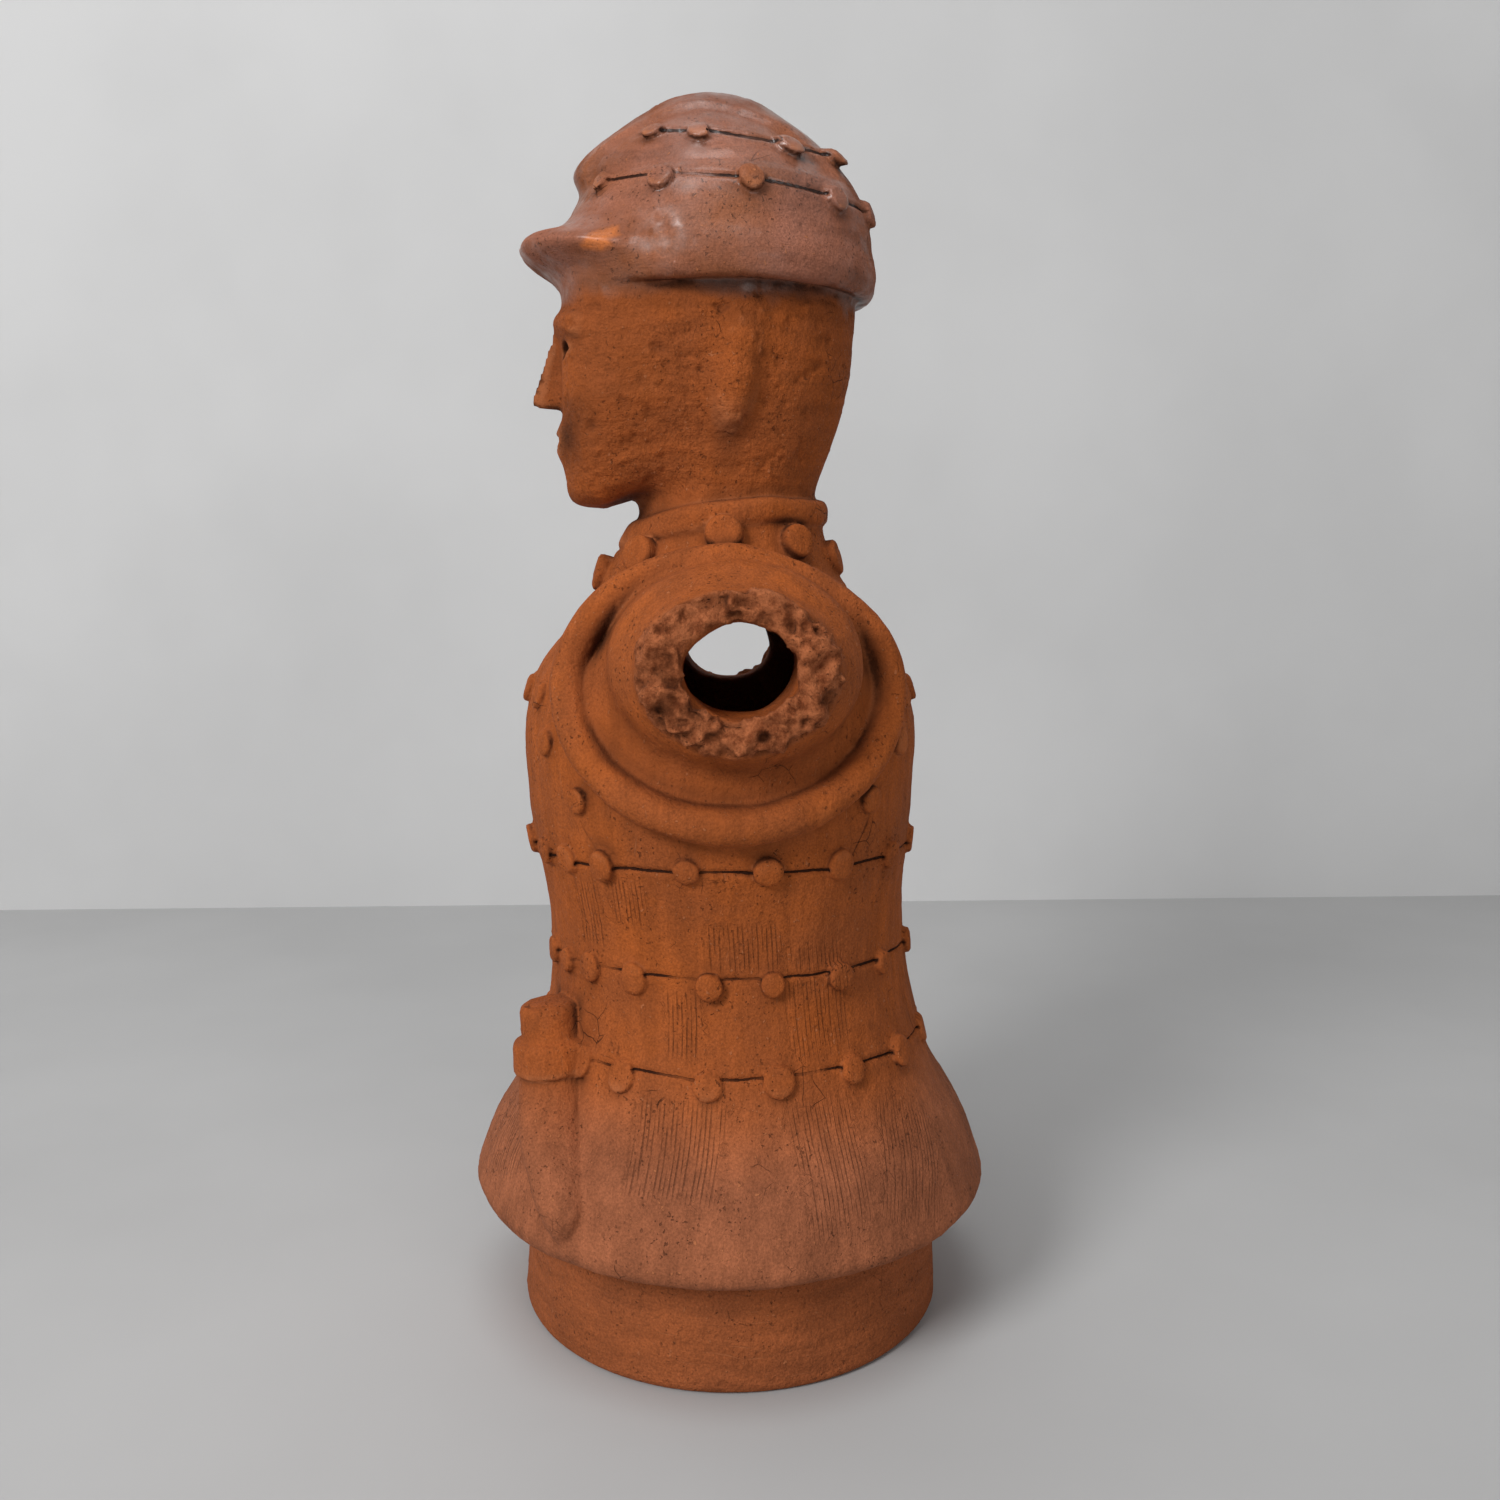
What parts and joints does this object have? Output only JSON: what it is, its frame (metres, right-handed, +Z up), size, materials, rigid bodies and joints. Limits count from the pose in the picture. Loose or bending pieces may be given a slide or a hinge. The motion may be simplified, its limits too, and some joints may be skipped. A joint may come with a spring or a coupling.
{
  "type": "haniwa figure",
  "caption": "Hollow fired-clay half figure of an armoured warrior with a studded helmet, a flared tunic on a round drum base and broken arm stumps.",
  "frame": {"origin": "centre of the bottom of the figure's box, on the plane that the drum stands on", "axes": "+Z up; the figure faces -Y; its own left arm points along +X"},
  "size_m": [0.2764, 0.2608, 0.6],
  "materials": {
    "terracotta": "unglazed red-orange fired clay, matt and hand-smoothed, slightly burnished and darker on the helmet"
  },
  "bodies": {
    "root": {"haniwa_figure": "terracotta"}
  },
  "joints": []
}
